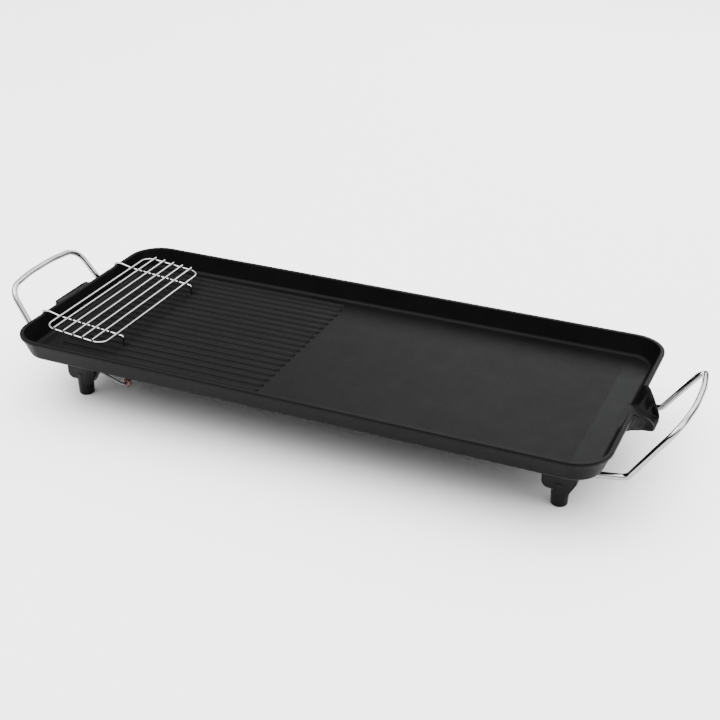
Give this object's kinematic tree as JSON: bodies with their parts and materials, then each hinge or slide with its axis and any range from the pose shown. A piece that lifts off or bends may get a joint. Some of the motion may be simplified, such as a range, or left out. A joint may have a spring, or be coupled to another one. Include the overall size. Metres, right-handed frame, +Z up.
{
  "type": "electric table griddle",
  "caption": "Long electric table griddle: ridged and flat cooking floor, pouring spout, wire warming rack, bent rod handles, moulded legs, folding tilt stand and a probe socket.",
  "frame": {"origin": "on the table under the middle of the tray", "axes": "+X towards the spout end, +Y towards the back, +Z up"},
  "size_m": [0.7554, 0.277, 0.1031],
  "materials": {
    "nonstick": "dark non-stick coating, low sheen",
    "phenolic": "moulded heat-proof plastic, satin",
    "chrome_rod": "bright plated",
    "heater_sheath": "dull heat-darkened sheath",
    "pin_steel": "bright drawn",
    "fastener_steel": "zinc plated",
    "stand_steel": "drawn wire",
    "ceramic": "unglazed ceramic",
    "silicone": "satin silicone"
  },
  "bodies": {
    "griddle": {"griddle_plate": "nonstick", "heating_element": "heater_sheath", "terminal_pins": "pin_steel", "terminal_bushes": "ceramic", "probe_sleeve": "pin_steel", "socket_housing": "phenolic", "socket_screws": "fastener_steel", "left_front_leg": "phenolic", "left_rear_leg": "phenolic", "right_front_leg": "phenolic", "right_rear_leg": "phenolic", "leg_screws": "fastener_steel", "leg_washers": "fastener_steel", "left_handle": "chrome_rod", "right_handle": "chrome_rod", "handle_pins": "fastener_steel", "stand_brackets": "fastener_steel", "bracket_screws": "fastener_steel"},
    "rack": {"rack_frame": "chrome_rod", "rack_bars": "chrome_rod", "rack_front_rail": "chrome_rod", "rack_rear_rail": "chrome_rod"},
    "stand": {"tilt_stand": "stand_steel", "stand_beads": "silicone"}
  },
  "joints": [
    {"name": "rack_lift", "type": "slide", "parent": "griddle", "child": "rack", "axis": [0, 0, 1], "range_m": [0, 0.06]},
    {"name": "stand_fold", "type": "hinge", "parent": "griddle", "child": "stand", "pos_m": [-0.262, 0, 0.0518], "axis": [0, 1, 0], "range_deg": [0, 72]}
  ]
}
